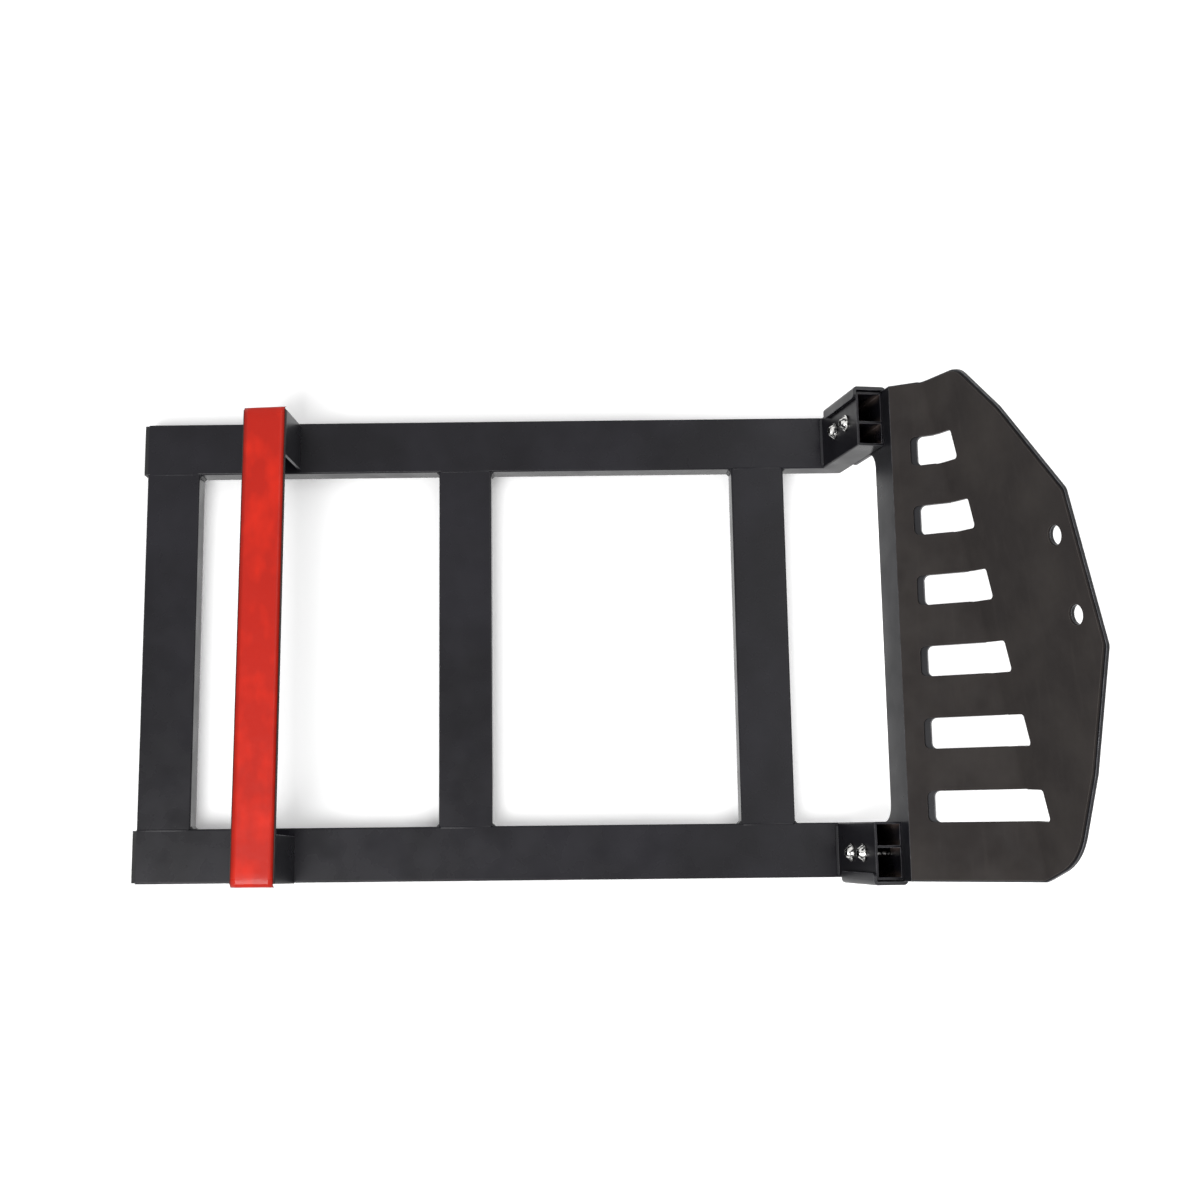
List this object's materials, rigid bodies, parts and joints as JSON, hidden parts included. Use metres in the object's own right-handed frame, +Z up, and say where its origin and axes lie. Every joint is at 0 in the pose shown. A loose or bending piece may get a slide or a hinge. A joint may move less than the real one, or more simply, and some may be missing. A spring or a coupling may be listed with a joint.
{
  "type": "roof rack side ladder",
  "caption": "black roof rack side ladder with double-cell tube rails and rungs, mitred arms, a folded slotted roof plate with rubber pad, and a taped standoff bar",
  "frame": {"origin": "midway between the two roof bolt holes, on the padded seat of the roof plate", "axes": "+Z up the rails, +Y from the rungs towards the vehicle, +X from the left rail to the right rail as seen from the vehicle's side with the feet down"},
  "size_m": [0.4465, 0.3068, 0.822],
  "materials": {
    "tube_coat": "satin",
    "sheet_coat": "satin",
    "cap_plastic": "matte",
    "foam_tape": "matte",
    "liner_film": "satin",
    "pad_rubber": "matte",
    "bright_steel": "polished"
  },
  "bodies": {
    "root": {"rail_left": "tube_coat", "rail_right": "tube_coat", "arm_left": "tube_coat", "arm_right": "tube_coat", "rung_bottom": "tube_coat", "rung_middle": "tube_coat", "rung_top": "tube_coat", "end_cap_left": "cap_plastic", "end_cap_right": "cap_plastic", "standoff_bracket": "sheet_coat", "adhesive_tape": "foam_tape", "release_liner": "liner_film", "mount_plate": "sheet_coat", "plate_pad": "pad_rubber", "bolt_left_lower": "bright_steel", "bolt_left_upper": "bright_steel", "bolt_right_lower": "bright_steel", "bolt_right_upper": "bright_steel", "nut_left_lower": "bright_steel", "nut_left_upper": "bright_steel", "nut_right_lower": "bright_steel", "nut_right_upper": "bright_steel"}
  },
  "joints": []
}
